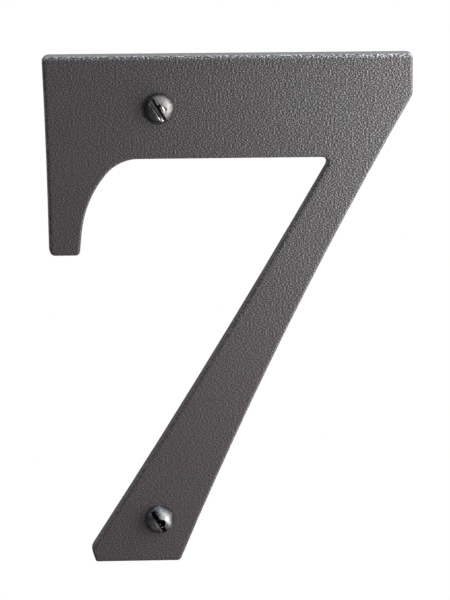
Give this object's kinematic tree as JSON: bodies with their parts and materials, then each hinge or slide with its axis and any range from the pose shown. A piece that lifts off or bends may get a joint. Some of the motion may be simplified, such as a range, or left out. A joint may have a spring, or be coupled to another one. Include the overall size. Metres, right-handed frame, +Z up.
{
  "type": "house number",
  "caption": "Iron house numeral: a flat plate with an upper bar, a serif and a raking leg, its face edges rounded, held to a wall by slotted round-head wood screws.",
  "frame": {"origin": "on the wall plane, at the back of the numeral, on the axis of the upper screw", "axes": "+X to the reader's right, +Z up the wall, +Y into the wall, so the face looks along -Y"},
  "size_m": [0.0918, 0.0279, 0.127],
  "materials": {
    "coated_iron": "dark pewter powder coat with a fine pebbled grain",
    "black_steel": "black satin, worn along the slot"
  },
  "bodies": {
    "root": {"numeral_plate": "coated_iron", "upper_screw": "black_steel", "lower_screw": "black_steel"}
  },
  "joints": []
}
